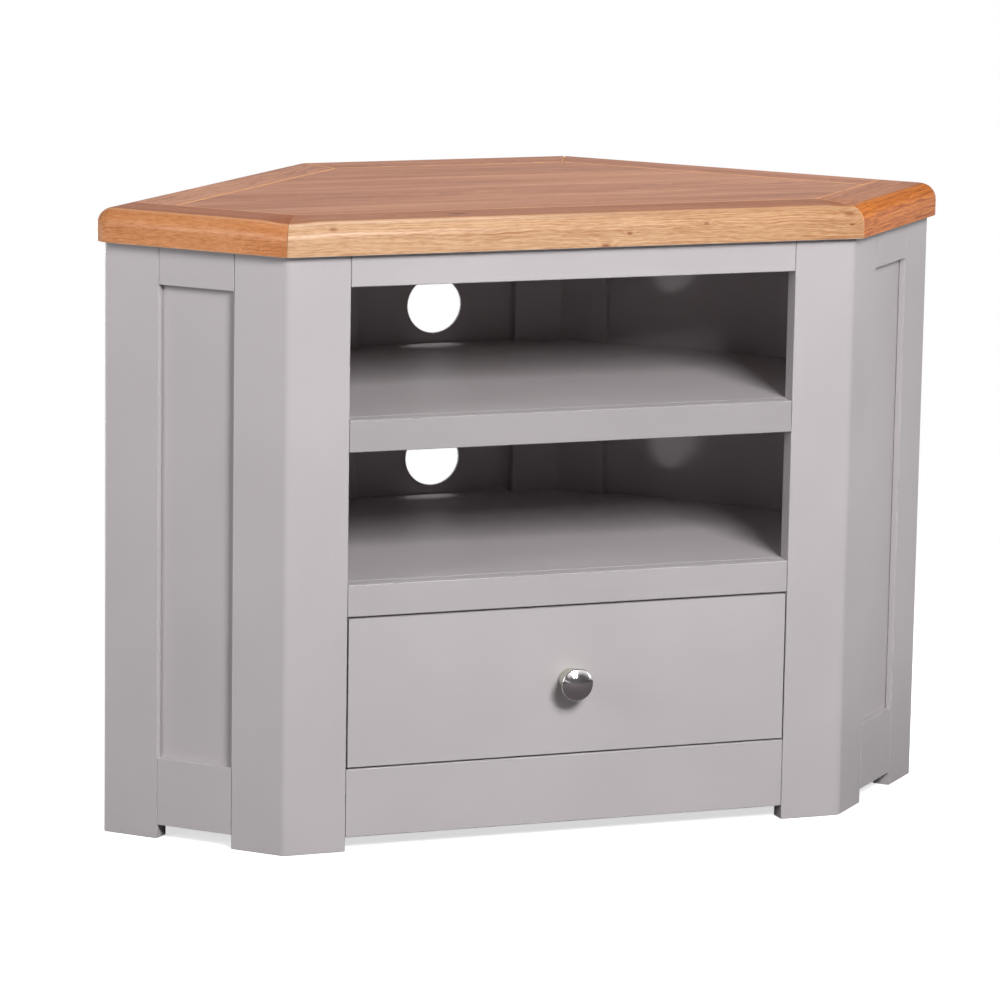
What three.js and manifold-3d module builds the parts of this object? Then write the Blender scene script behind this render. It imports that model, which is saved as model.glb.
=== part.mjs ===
// Corner television cabinet: a six-sided painted carcass of framed panels on angled
// corner posts, with two open bays over one inset drawer, under a framed oak top.
// Millimetres, +Z up. The origin is on the floor, under the middle of the whole box.
import * as THREE from "three";
import { mergeVertices } from "three/addons/utils/BufferGeometryUtils.js";
import Module from "manifold-3d";

const wasm = await Module();
wasm.setup();

// Carcass in plan: a front, two sides splayed by an eighth of a turn, two back sides that
// stand along the walls of a room's corner at these sizes, and a short back
const frontWidth = 576;
const sideWidth = 198;
const backWidth = 286;
const bodyDepth = 425;
const bodyHeight = 578;
const footHeight = 14;
const frameThickness = 18;
const frontStileWidth = 62;
const sideFrontStileWidth = 57;
const sideBackStileWidth = 60;
const backStileWidth = 58;
const frontArrisRadius = 9;
const arrisRadius = 4;

// Frame rails and the panels in their grooves. The back panels are thinner and lie nearer
// the outside.
const topRailHeight = 37;
const bottomRailHeight = 66;
const panelThickness = 6;
const panelRecess = 7;
const backPanelThickness = 4;
const backPanelRecess = 3;
const grooveDepth = 8;
const tenonShoulder = 5;

// Front rails and shelves
const frontTopRailHeight = 31;
const frontBottomRailHeight = 67;
const lippingHeight = 31;
const upperShelfTop = 420;
const lowerShelfTop = 261;
const shelfThickness = 16;
const basePanelThickness = 15;
const runnerHeight = 10;

// Cable holes in the back panel, one to each bay
const cableHoleRadius = 29;
const upperHoleHeight = 459;
const lowerHoleHeight = 299;

// Oak top
const topThickness = 32;
const topOverhang = 10;
const topRailWidth = 60;
const topPanelThickness = 20;
const topRoundover = 16;
const topEndRadius = 20;
const topTongueThickness = 6;
const topTongueDepth = 9;

// Drawer, its box and what it runs on
const drawerSideGap = 1.5;
const drawerTopGap = 2;
const drawerLength = 290;
const drawerSideThickness = 12;
const drawerSideHeight = 120;
const drawerBottomThickness = 5;
const drawerBottomRise = 10;
const drawerGrooveDepth = 5;
const dovetailLap = 12;
const dovetailEdge = 4;
const dovetailPinWidth = 8;
const dovetailCount = 4;
const dovetailSlopeShare = 1 / 6;
const guideThickness = 15;
const guideHeight = 45;
const guideEndGap = 2;
const runnerWidth = 20;
const kickerGap = 2;
const stopWidth = 40;
const stopThickness = 12;
const stopSpacing = 300;
const stopClearance = 1.5;

// Knob and the screw that holds it
const knobRadius = 16;
const knobReach = 28;
const knobBaseRadius = 8.5;
const knobNeckRadius = 7;
const knobHoleDepth = 14;
const knobScrewRadius = 2;
const knobScrewHeadRadius = 4.2;
const knobScrewHeadHeight = 2.6;

// Battens that hold the top, and their screws
const battenSize = 20;
const battenEndGap = 30;
const topScrewRadius = 2.2;
const topScrewHeadRadius = 4.4;
const topScrewHeadHeight = 2.2;
const topScrewLength = 36;
const topScrewSpacing = 260;

// Clearances
const jointGap = 0.3;
const screwHoleClearance = 0.3;
const overrun = 5;
const weldDistance = 1e-4;

const eighthTurn = Math.PI / 4;
const halfFront = frontWidth / 2;
const topZ = bodyHeight + topThickness;
const frontRailTop = footHeight + frontBottomRailHeight;
const basePanelTop = frontRailTop - runnerHeight;
const halfOpening = halfFront - frontStileWidth;

// The six faces of the carcass, anticlockwise in plan. Each starts at its corner and runs to
// the next one's, with a stile at each end. A panel's depths are those of its outer and inner
// side, and the rails' tenons share them.
const sideReach = sideWidth * Math.SQRT1_2;
const halfBack = backWidth / 2;
const faces = [
  { name: "front", corner: [-halfFront, 0], startStile: frontStileWidth, endStile: frontStileWidth },
  { name: "right_side", corner: [halfFront, 0],
    startStile: sideFrontStileWidth, endStile: sideBackStileWidth },
  { name: "back_right", corner: [halfFront + sideReach, sideReach],
    startStile: backStileWidth, endStile: backStileWidth },
  { name: "back", corner: [halfBack, bodyDepth], startStile: backStileWidth, endStile: backStileWidth },
  { name: "back_left", corner: [-halfBack, bodyDepth],
    startStile: backStileWidth, endStile: backStileWidth },
  { name: "left_side", corner: [-halfFront - sideReach, sideReach],
    startStile: sideBackStileWidth, endStile: sideFrontStileWidth },
];
const [frontFace, , backRightFace, backFace] = faces;
const postNames = ["front_right_post", "side_right_post", "back_right_post",
  "back_left_post", "side_left_post", "front_left_post"];

function faceAfter(i) {
  return faces[(i + 1) % faces.length];
}

faces.forEach((face, i) => {
  face.start = new THREE.Vector2(...face.corner);
  const run = new THREE.Vector2(...faceAfter(i).corner).sub(face.start);
  face.width = run.length();
  face.heading = run.angle();
  face.along = run.normalize();
  face.inward = new THREE.Vector2(-face.along.y, face.along.x);
  face.distance = -face.inward.dot(face.start);
  face.panelDepths = face.name.startsWith("back")
    ? [backPanelRecess, backPanelRecess + backPanelThickness]
    : [panelRecess, panelRecess + panelThickness];
  face.grooveDepths = [face.panelDepths[0] - jointGap, face.panelDepths[1] + jointGap];
});

// Where two faces meet, each moved outwards by its own amount
function meet(first, firstOut, second, secondOut) {
  const a = first.inward;
  const b = second.inward;
  const da = -(first.distance + firstOut);
  const db = -(second.distance + secondOut);
  const det = a.x * b.y - a.y * b.x;
  return new THREE.Vector2((da * b.y - db * a.y) / det, (a.x * db - b.x * da) / det);
}

// Corners of the plan with every face moved outwards, starting at the front's right end
function planOutline(outOf) {
  return faces.map((face, i) => meet(face, outOf(face), faceAfter(i), outOf(faceAfter(i))));
}

// How deep into the plan a face's inner plane lies, at a place across the cabinet
function depthAt(face, inward, across) {
  return (inward - face.distance - face.inward.x * across) / face.inward.y;
}

// Closed geometry to a solid and back, for joining and cutting
function solidOf(geometry) {
  const bare = geometry.index ? geometry.toNonIndexed() : geometry.clone();
  for (const name of Object.keys(bare.attributes)) {
    if (name !== "position") bare.deleteAttribute(name);
  }
  const merged = mergeVertices(bare, weldDistance);
  return new wasm.Manifold(new wasm.Mesh({
    numProp: 3,
    vertProperties: new Float32Array(merged.attributes.position.array),
    triVerts: new Uint32Array(merged.index.array),
  }));
}

function geometryOf(solid) {
  const mesh = solid.getMesh();
  const geometry = new THREE.BufferGeometry();
  geometry.setAttribute("position", new THREE.BufferAttribute(mesh.vertProperties, 3));
  geometry.setIndex(new THREE.BufferAttribute(mesh.triVerts, 1));
  geometry.computeVertexNormals();
  return geometry;
}

function cut(base, ...tools) {
  return geometryOf(tools.reduce((solid, tool) => solid.subtract(solidOf(tool)), solidOf(base)));
}

function join(base, ...others) {
  return geometryOf(others.reduce((solid, other) => solid.add(solidOf(other)), solidOf(base)));
}

function common(base, other) {
  return geometryOf(solidOf(base).intersect(solidOf(other)));
}

function block(x, y, z) {
  const geometry = new THREE.BoxGeometry(x[1] - x[0], y[1] - y[0], z[1] - z[0]);
  return geometry.translate((x[0] + x[1]) / 2, (y[0] + y[1]) / 2, (z[0] + z[1]) / 2);
}

function prism(shape, z) {
  const geometry = new THREE.ExtrudeGeometry(shape, {
    depth: z[1] - z[0], bevelEnabled: false, curveSegments: 6,
  });
  return geometry.translate(0, 0, z[0]);
}

// A rod along Z between two heights
function rod(radius, z, sides = 20) {
  const geometry = new THREE.CylinderGeometry(radius, radius, z[1] - z[0], sides);
  return geometry.rotateX(Math.PI / 2).translate(0, 0, (z[0] + z[1]) / 2);
}

// A closed outline swept across the cabinet, with its points given as [depth, height]
function crossPrism(points, x) {
  const shape = new THREE.Shape(points.map(([y, z]) => new THREE.Vector2(y, z)));
  const geometry = prism(shape, x);
  const turn = new THREE.Matrix4().makeBasis(
    new THREE.Vector3(0, 1, 0), new THREE.Vector3(0, 0, 1), new THREE.Vector3(1, 0, 0));
  return geometry.applyMatrix4(turn);
}

// The mirror image across the middle of the cabinet
function mirrored(geometry) {
  const image = geometry.clone().scale(-1, 1, 1);
  const corners = image.index.array;
  for (let i = 0; i < corners.length; i += 3) {
    [corners[i], corners[i + 1]] = [corners[i + 1], corners[i]];
  }
  return image;
}

// A turned piece about Z, its profile given as [radius, height]
function turned(profile, sides) {
  const points = profile.map(([radius, height]) => new THREE.Vector2(radius, height));
  return new THREE.LatheGeometry(points, sides).rotateX(Math.PI / 2);
}

// A closed outline whose corners are rounded where a radius is given
function roundedShape(points, radii) {
  const shape = new THREE.Shape();
  points.forEach((point, i) => {
    const before = points[(i + points.length - 1) % points.length];
    const after = points[(i + 1) % points.length];
    const radius = radii[i];
    if (radius === 0) {
      shape[i ? "lineTo" : "moveTo"](point.x, point.y);
      return;
    }
    const back = before.clone().sub(point).normalize();
    const forth = after.clone().sub(point).normalize();
    const half = Math.acos(back.dot(forth)) / 2;
    const reach = radius / Math.tan(half);
    const start = point.clone().addScaledVector(back, reach);
    const end = point.clone().addScaledVector(forth, reach);
    const middle = back.clone().add(forth).normalize().multiplyScalar(radius / Math.sin(half)).add(point);
    const startAngle = Math.atan2(start.y - middle.y, start.x - middle.x);
    const endAngle = Math.atan2(end.y - middle.y, end.x - middle.x);
    shape[i ? "lineTo" : "moveTo"](start.x, start.y);
    shape.absarc(middle.x, middle.y, radius, startAngle, endAngle, false);
  });
  return shape.closePath();
}

// The same anticlockwise outline with every edge moved inwards
function inset(points, distance) {
  return points.map((point, i) => {
    const before = points[(i + points.length - 1) % points.length];
    const after = points[(i + 1) % points.length];
    const back = before.clone().sub(point).normalize();
    const forth = after.clone().sub(point).normalize();
    const sine = Math.abs(back.x * forth.y - back.y * forth.x);
    return point.clone().addScaledVector(back.add(forth), distance / sine);
  });
}

// Moves a piece made in a face's own frame (X along it, Y inwards) into the plan
function onFace(face, geometry) {
  return geometry.rotateZ(face.heading).translate(face.start.x, face.start.y, 0);
}

// What the surfaces are finished in
const finishes = {
  paint: { color: 0xbdb8b9, roughness: 0.5, metalness: 0 },
  oak: { color: 0xc98546, roughness: 0.4, metalness: 0 },
  bareWood: { color: 0xd9c09a, roughness: 0.7, metalness: 0 },
  steel: { color: 0x9a9694, roughness: 0.3, metalness: 1 },
  zinc: { color: 0xb9b6ac, roughness: 0.45, metalness: 1 },
};

function piece(name, finish, geometry) {
  const mesh = new THREE.Mesh(geometry, new THREE.MeshStandardMaterial(finishes[finish]));
  mesh.name = name;
  return mesh;
}

// Heights of each face's rails, and of the tenon on their ends
const frameRails = [
  { name: "bottom_rail", z: [footHeight, footHeight + bottomRailHeight] },
  { name: "top_rail", z: [bodyHeight - topRailHeight, bodyHeight] },
];
const frontRails = [
  { name: "front_bottom_rail", z: [footHeight, frontRailTop] },
  { name: "lower_shelf_lipping", z: [lowerShelfTop - lippingHeight, lowerShelfTop] },
  { name: "upper_shelf_lipping", z: [upperShelfTop - lippingHeight, upperShelfTop] },
  { name: "front_top_rail", z: [bodyHeight - frontTopRailHeight, bodyHeight] },
];

function tenonHeights(rail) {
  return [rail.z[0] + tenonShoulder, rail.z[1] - tenonShoulder];
}

// A rail with a stub tenon on each end, in its face's frame
function railBlank(face, rail) {
  const x = [face.startStile + jointGap, face.width - face.endStile - jointGap];
  return join(
    block(x, [0, frameThickness], rail.z),
    block([x[0] - grooveDepth, x[1] + grooveDepth], face.panelDepths, tenonHeights(rail)),
  );
}

// Corner posts: one board on each face, meeting at a rounded arris
function postOutline(before, after, growth, outward = 0) {
  const depth = frameThickness + growth;
  const corner = meet(before, 0, after, 0);
  const first = corner.clone().addScaledVector(before.along, -before.endStile - growth);
  const last = corner.clone().addScaledVector(after.along, after.startStile + growth);
  return [
    first.clone().addScaledVector(before.inward, -outward),
    meet(before, outward, after, outward),
    last.clone().addScaledVector(after.inward, -outward),
    last.clone().addScaledVector(after.inward, depth),
    meet(before, -depth, after, -depth),
    first.clone().addScaledVector(before.inward, depth),
  ];
}

// What the post's end on one face is cut by: mortises on the front, a panel groove elsewhere
function postSlots(face, atStart) {
  const inner = atStart ? face.startStile : face.width - face.endStile;
  const x = atStart ? [inner - grooveDepth, inner + overrun] : [inner - overrun, inner + grooveDepth];
  if (face.name !== "front") {
    return [onFace(face, block(x, face.grooveDepths, [footHeight, bodyHeight + overrun]))];
  }
  return frontRails.map((rail) => {
    const [low, high] = tenonHeights(rail);
    return onFace(face, block(x, face.grooveDepths, [low - jointGap, high + jointGap]));
  });
}

function makePosts() {
  return faces.map((before, i) => {
    const after = faceAfter(i);
    const radius = before === frontFace || after === frontFace ? frontArrisRadius : arrisRadius;
    const shape = roundedShape(postOutline(before, after, 0), [0, radius, 0, 0, 0, 0]);
    const blank = prism(shape, [0, bodyHeight]);
    const slots = [...postSlots(before, false), ...postSlots(after, true)];
    return piece(postNames[i], "paint", cut(blank, ...slots));
  });
}

function makeFrontRails() {
  return frontRails.map((rail) => {
    return piece(rail.name, "paint", onFace(frontFace, railBlank(frontFace, rail)));
  });
}

// Two grooved rails and a panel between the posts of one face
function makeFramedFace(face) {
  const [bottom, top] = frameRails;
  const x = [face.startStile, face.width - face.endStile];
  const grooves = {
    bottom_rail: [bottom.z[1] - grooveDepth, bottom.z[1] + overrun],
    top_rail: [top.z[0] - overrun, top.z[0] + grooveDepth],
  };
  const rails = frameRails.map((rail) => {
    const long = [x[0] - grooveDepth - overrun, x[1] + grooveDepth + overrun];
    const grooved = cut(railBlank(face, rail), block(long, face.grooveDepths, grooves[rail.name]));
    return piece(`${face.name}_${rail.name}`, "paint", onFace(face, grooved));
  });
  const reach = grooveDepth - jointGap;
  const z = [bottom.z[1] - reach, top.z[0] + reach];
  let panel = block([x[0] - reach, x[1] + reach], face.panelDepths, z);
  if (face === backFace) panel = cut(panel, ...cableHoles(face));
  return [...rails, piece(`${face.name}_panel`, "paint", onFace(face, panel))];
}

// Round holes on the middle of a panel, one above each shelf
function cableHoles(face) {
  return [lowerHoleHeight, upperHoleHeight].map((height) => {
    const hole = rod(cableHoleRadius, [-overrun, frameThickness + overrun], 32);
    return hole.rotateX(-Math.PI / 2).translate(face.width / 2, 0, height);
  });
}

// A board that fills the plan inside every face's own depth, notched round the posts
function makeBoard(name, z, depthOf) {
  const blank = prism(new THREE.Shape(planOutline((face) => -depthOf(face) - jointGap)), z);
  const notches = faces.map((before, i) => {
    const outline = postOutline(before, faceAfter(i), jointGap, overrun);
    return prism(new THREE.Shape(outline), [z[0] - overrun, z[1] + overrun]);
  });
  return piece(name, "paint", cut(blank, ...notches));
}

function makeShelves() {
  const toPanels = (face) => (face === frontFace ? frameThickness : face.panelDepths[1]);
  return [
    makeBoard("upper_shelf", [upperShelfTop - shelfThickness, upperShelfTop], toPanels),
    makeBoard("lower_shelf", [lowerShelfTop - shelfThickness, lowerShelfTop], toPanels),
    makeBoard("base_panel", [basePanelTop - basePanelThickness, basePanelTop], () => frameThickness),
  ];
}

// The drawer box: its side heights, its bottom's heights and its half widths
const drawerZ = [frontRailTop + jointGap, frontRailTop + jointGap + drawerSideHeight];
const drawerBottomLow = drawerZ[0] + drawerBottomRise;
const drawerBottomZ = [drawerBottomLow, drawerBottomLow + drawerBottomThickness];
const drawerGrooveZ = [drawerBottomZ[0] - jointGap, drawerBottomZ[1] + jointGap];
const drawerFrontZ = [frontRailTop + drawerTopGap, lowerShelfTop - lippingHeight - drawerTopGap];
const drawerHalf = halfOpening - drawerSideGap;
const drawerInner = drawerHalf - drawerSideThickness;
const drawerBackZ = [drawerBottomZ[1] + jointGap, drawerZ[1]];

// Runners, guides, kickers and stops, mirrored about the middle
function makeDrawerGuides() {
  const front = frameThickness + jointGap;
  const back = depthAt(backRightFace, frameThickness, halfOpening + guideThickness) - guideEndGap;
  const y = [front, back];
  const floor = basePanelTop + jointGap;
  const ceiling = lowerShelfTop - shelfThickness - jointGap;
  const overDrawer = [halfOpening - runnerWidth, halfOpening - jointGap];
  const beside = [halfOpening, halfOpening + guideThickness];
  const stop = [stopSpacing / 2 - stopWidth / 2, stopSpacing / 2 + stopWidth / 2];
  const parts = [
    ["guide", beside, y, [floor, floor + guideHeight]],
    ["runner", overDrawer, y, [floor, frontRailTop]],
    ["kicker", overDrawer, y, [drawerZ[1] + kickerGap, ceiling]],
    ["stop", stop, [front, front + stopThickness], [floor, drawerBottomZ[0] - stopClearance]],
  ];
  return ["left", "right"].flatMap((side) => parts.map(([name, x, depth, z]) => {
    const across = side === "right" ? x : [-x[1], -x[0]];
    return piece(`drawer_${side}_${name}`, "bareWood", block(across, depth, z));
  }));
}

// Tails of one dovetailed corner: each widens from its root to its tip, and runs straight
// into the board that it grows from
function tails(root, tip, z, x, growth) {
  const low = z[0] + dovetailEdge;
  const high = z[1] - dovetailEdge;
  const pitch = (high - low + dovetailPinWidth) / dovetailCount;
  const outward = Math.sign(tip - root);
  const flare = Math.abs(tip - root) * dovetailSlopeShare;
  return Array.from({ length: dovetailCount }, (_, i) => {
    const bottom = low + i * pitch - growth;
    const top = low + (i + 1) * pitch - dovetailPinWidth + growth;
    const buried = root - outward * overrun;
    const end = tip + outward * growth;
    const points = [
      [buried, bottom + flare], [root, bottom + flare], [end, bottom],
      [end, top], [root, top - flare], [buried, top - flare],
    ];
    return crossPrism(outward > 0 ? points : points.reverse(), x);
  });
}

// The drawer's front corners are lapped, so no joint shows from outside
function frontTails(x, growth) {
  const z = [drawerFrontZ[0], drawerZ[1]];
  return tails(frameThickness + jointGap, frameThickness - dovetailLap + jointGap, z, x, growth);
}

function backTails(x, growth) {
  return tails(drawerLength - drawerSideThickness - jointGap, drawerLength, drawerBackZ, x, growth);
}

function makeDrawerFront() {
  const middleZ = (drawerFrontZ[0] + drawerFrontZ[1]) / 2;
  const reach = drawerInner + drawerGrooveDepth;
  const screwHole = rod(knobScrewRadius + screwHoleClearance, [-overrun, frameThickness + overrun]);
  screwHole.rotateX(-Math.PI / 2).translate(0, 0, middleZ);
  const bottomGroove = block([-reach, reach],
    [frameThickness - drawerGrooveDepth, frameThickness + overrun], drawerGrooveZ);
  const sockets = frontTails([drawerInner - jointGap, drawerHalf + overrun], jointGap);
  const board = block([-drawerHalf, drawerHalf], [0, frameThickness], drawerFrontZ);
  const solid = cut(board, screwHole, bottomGroove, ...sockets, ...sockets.map(mirroredPrism));
  return piece("drawer_front", "paint", solid);
}

function mirroredPrism(prismGeometry) {
  return mirrored(geometryOf(solidOf(prismGeometry)));
}

// Each side has tails on both ends, and under the back it runs on to the drawer's full length
function makeDrawerSides() {
  const x = [drawerInner, drawerHalf];
  const y = [frameThickness + jointGap, drawerLength - drawerSideThickness - jointGap];
  const body = block(x, y, drawerZ);
  const underBack = block(x, [drawerLength - drawerSideThickness - overrun, drawerLength],
    [drawerZ[0], drawerBottomZ[1]]);
  const bottomGroove = block([drawerInner - overrun, drawerInner + drawerGrooveDepth],
    [frameThickness - dovetailLap - overrun, drawerLength + overrun], drawerGrooveZ);
  const right = cut(join(body, underBack, ...frontTails(x, 0), ...backTails(x, 0)), bottomGroove);
  return [
    piece("drawer_left_side", "bareWood", mirrored(right)),
    piece("drawer_right_side", "bareWood", right),
  ];
}

// The back stands on the bottom board, which slides in from behind
function makeDrawerBackAndBottom() {
  const y = [drawerLength - drawerSideThickness, drawerLength];
  const sockets = backTails([drawerInner - jointGap, drawerHalf + overrun], jointGap);
  const board = block([-drawerHalf, drawerHalf], y, drawerBackZ);
  const reach = drawerInner + drawerGrooveDepth - jointGap;
  const bottomFront = frameThickness - drawerGrooveDepth + jointGap;
  return [
    piece("drawer_back", "bareWood", cut(board, ...sockets, ...sockets.map(mirroredPrism))),
    piece("drawer_bottom", "bareWood", block([-reach, reach], [bottomFront, drawerLength], drawerBottomZ)),
  ];
}

function makeDrawer() {
  return [
    makeDrawerFront(),
    ...makeDrawerSides(),
    ...makeDrawerBackAndBottom(),
    ...makeKnob((drawerFrontZ[0] + drawerFrontZ[1]) / 2),
  ];
}

// Turned knob: base, neck, and a thick head that tapers back from its domed face. Its
// screw comes through the drawer's front from behind.
function makeKnob(height) {
  const hole = knobScrewRadius + screwHoleClearance;
  const neckShares = [[1, 0.1], [1, 0.26]];
  const headShares = [
    [0.62, 0.32], [0.76, 0.37], [0.82, 0.43], [0.94, 0.74], [0.985, 0.8], [1, 0.84],
    [0.985, 0.88], [0.93, 0.915], [0.76, 0.955], [0.5, 0.983], [0.25, 0.996],
  ];
  const knob = turned([
    [0, knobHoleDepth], [hole, knobHoleDepth], [hole, 0], [knobBaseRadius, 0],
    ...neckShares.map(([radius, reach]) => [radius * knobNeckRadius, reach * knobReach]),
    ...headShares.map(([radius, reach]) => [radius * knobRadius, reach * knobReach]),
    [0, knobReach],
  ], 40);
  const tip = frameThickness + jointGap + knobHoleDepth - knobScrewHeadHeight;
  const screw = turned([
    [0, -knobScrewHeadHeight], [knobScrewHeadRadius, -knobScrewHeadHeight], [knobScrewHeadRadius, 0],
    [knobScrewRadius, 0], [knobScrewRadius, tip], [0, tip],
  ], 20);
  knob.rotateX(Math.PI / 2).translate(0, -jointGap, height);
  screw.rotateX(Math.PI / 2).translate(0, frameThickness + jointGap, height);
  return [
    piece("drawer_knob", "steel", geometryOf(solidOf(knob))),
    piece("knob_screw", "zinc", geometryOf(solidOf(screw))),
  ];
}

// The whole top as one rounded-over slab, which the boards are cut from
function topBlank() {
  const outline = planOutline(() => topOverhang);
  const radii = [0, topEndRadius, 0, 0, topEndRadius, 0];
  const slab = new THREE.ExtrudeGeometry(roundedShape(outline, radii), {
    depth: topThickness, bevelThickness: topRoundover, bevelSize: topRoundover,
    bevelOffset: -topRoundover, bevelSegments: 8, curveSegments: 8,
  });
  slab.translate(0, 0, topZ - topRoundover - topThickness);
  const wide = new THREE.Shape(planOutline(() => topOverhang + overrun));
  return common(slab, prism(wide, [bodyHeight + jointGap, topZ + overrun]));
}

// Plan outlines of the top's boards: mitred at the front and back corners, while the side
// boards run through to the back at the two ends
function topBoardOutlines() {
  const out = topOverhang + overrun;
  const deep = topOverhang - topRailWidth;
  const outer = planOutline(() => out);
  const inner = planOutline(() => deep);
  const [, right, backRight, , backLeft, left] = faces;
  const rightRun = meet(right, deep, backRight, out);
  const leftRun = meet(backLeft, out, left, deep);
  return {
    top_front_rail: [outer[5], outer[0], inner[0], inner[5]],
    top_right_rail: [outer[0], outer[1], rightRun, inner[0]],
    top_back_right_rail: [rightRun, outer[2], inner[2], inner[1]],
    top_back_rail: [outer[2], outer[3], inner[3], inner[2]],
    top_back_left_rail: [outer[3], leftRun, inner[4], inner[3]],
    top_left_rail: [leftRun, outer[4], outer[5], inner[5]],
  };
}

function makeTop() {
  const blank = topBlank();
  const deep = topOverhang - topRailWidth;
  const tongueTop = topZ - (topPanelThickness - topTongueThickness) / 2;
  const tongueZ = [tongueTop - topTongueThickness, tongueTop];
  const grooveZ = [tongueZ[0] - jointGap, tongueZ[1] + jointGap];
  const panelGroove = prism(new THREE.Shape(planOutline(() => deep + topTongueDepth)), grooveZ);
  const pilotTop = bodyHeight - battenSize + topScrewLength + jointGap;
  const pilots = topScrewHoles([bodyHeight - overrun, pilotTop]);
  const z = [bodyHeight - overrun, topZ + overrun];
  const boards = Object.entries(topBoardOutlines()).map(([name, outline]) => {
    const board = common(blank, prism(new THREE.Shape(inset(outline, jointGap / 2)), z));
    const holes = name === "top_front_rail" || name === "top_back_rail" ? pilots : [];
    return piece(name, "oak", cut(board, panelGroove, ...holes));
  });
  const panel = join(
    prism(new THREE.Shape(planOutline(() => deep - jointGap)), [topZ - topPanelThickness, topZ]),
    prism(new THREE.Shape(planOutline(() => deep + topTongueDepth - jointGap)), tongueZ),
  );
  return [...boards, piece("top_panel", "oak", panel)];
}

// Battens behind the front and back top rails, and where their screws go
const battens = [
  { name: "front", y: frameThickness + jointGap, width: 2 * halfOpening },
  { name: "back", y: bodyDepth - frameThickness - jointGap - battenSize,
    width: backFace.width - 2 * frameThickness },
];

function topScrewPlaces() {
  return battens.flatMap((batten) => [-1, 1].map((hand) => {
    const reach = Math.min(topScrewSpacing, batten.width - battenEndGap * 2) / 2;
    return [hand * reach, batten.y + battenSize / 2, `${batten.name}_${hand < 0 ? "left" : "right"}`];
  }));
}

function topScrewHoles(z) {
  return topScrewPlaces().map(([x, y]) => rod(topScrewRadius + screwHoleClearance, z).translate(x, y, 0));
}

function makeTopFixings() {
  const z = [bodyHeight - battenSize, bodyHeight - jointGap];
  const holes = topScrewHoles([z[0] - overrun, z[1] + overrun]);
  const strips = battens.map((batten) => {
    const x = (batten.width - battenEndGap) / 2;
    const blank = block([-x, x], [batten.y, batten.y + battenSize], z);
    return piece(`top_${batten.name}_batten`, "bareWood", cut(blank, ...holes));
  });
  const profile = [
    [0, -topScrewHeadHeight], [topScrewHeadRadius, -topScrewHeadHeight], [topScrewHeadRadius, -jointGap],
    [topScrewRadius, -jointGap], [topScrewRadius, topScrewLength - 2 * topScrewRadius],
    [0, topScrewLength],
  ];
  const screws = topScrewPlaces().map(([x, y, name]) => {
    const screw = turned(profile, 16).translate(x, y, z[0]);
    return piece(`top_screw_${name}`, "zinc", geometryOf(solidOf(screw)));
  });
  return [...strips, ...screws];
}

const cabinet = new THREE.Group();
cabinet.add(...makePosts(), ...makeFrontRails());
cabinet.add(...faces.slice(1).flatMap(makeFramedFace));
cabinet.add(...makeShelves(), ...makeDrawerGuides());
cabinet.add(...makeTop(), ...makeTopFixings());

const drawer = new THREE.Group();
drawer.add(...makeDrawer());
cabinet.add(drawer);

// The knob reaches out in front and the top behind: the origin is midway between them
cabinet.position.y = (knobReach + jointGap - bodyDepth - topOverhang) / 2;

const model = new THREE.Group();
model.add(cabinet);
export default model;
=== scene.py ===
# Corner television cabinet: painted carcass, framed oak top, two open bays and a drawer
import math

import bpy
from mathutils import Matrix, Vector


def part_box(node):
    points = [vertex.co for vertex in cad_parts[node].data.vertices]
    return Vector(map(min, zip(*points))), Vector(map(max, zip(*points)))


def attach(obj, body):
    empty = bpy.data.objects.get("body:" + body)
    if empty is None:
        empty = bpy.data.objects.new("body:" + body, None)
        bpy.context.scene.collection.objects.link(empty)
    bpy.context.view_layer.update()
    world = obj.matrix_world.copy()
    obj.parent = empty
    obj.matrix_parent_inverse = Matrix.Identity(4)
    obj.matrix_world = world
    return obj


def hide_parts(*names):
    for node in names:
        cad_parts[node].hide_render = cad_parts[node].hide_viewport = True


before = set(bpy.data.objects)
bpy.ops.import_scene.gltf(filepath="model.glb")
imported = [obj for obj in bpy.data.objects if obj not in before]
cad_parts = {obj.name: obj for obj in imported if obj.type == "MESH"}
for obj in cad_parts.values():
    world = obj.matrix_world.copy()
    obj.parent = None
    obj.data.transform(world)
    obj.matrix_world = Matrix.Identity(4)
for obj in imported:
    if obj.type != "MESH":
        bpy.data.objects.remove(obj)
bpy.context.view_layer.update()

millimetre = 0.001

# The photograph's camera: its focal length in pixels, its place in metres, and how it is turned
photo_width = 1000
focal_pixels = 5085.3
sensor_width = 36
camera_place = Vector((-1.6831, -4.6977, 1.2605))
camera_yaw = 0.34377
camera_pitch = 0.19124
camera_roll = 0.01659


def make_camera():
    level = math.cos(camera_pitch)
    forward = Vector((
        math.sin(camera_yaw) * level, math.cos(camera_yaw) * level, -math.sin(camera_pitch)))
    right = Vector((math.cos(camera_yaw), -math.sin(camera_yaw), 0))
    up = right.cross(forward)
    across = right * math.cos(camera_roll) + up * math.sin(camera_roll)
    upright = up * math.cos(camera_roll) - right * math.sin(camera_roll)
    data = bpy.data.cameras.new("photo_camera")
    data.sensor_width = sensor_width
    data.lens = focal_pixels * sensor_width / photo_width
    camera = bpy.data.objects.new("photo_camera", data)
    bpy.context.scene.collection.objects.link(camera)
    turn = Matrix((across, upright, -forward)).transposed()
    camera.matrix_world = Matrix.Translation(camera_place) @ turn.to_4x4()
    bpy.context.scene.camera = camera


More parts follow.
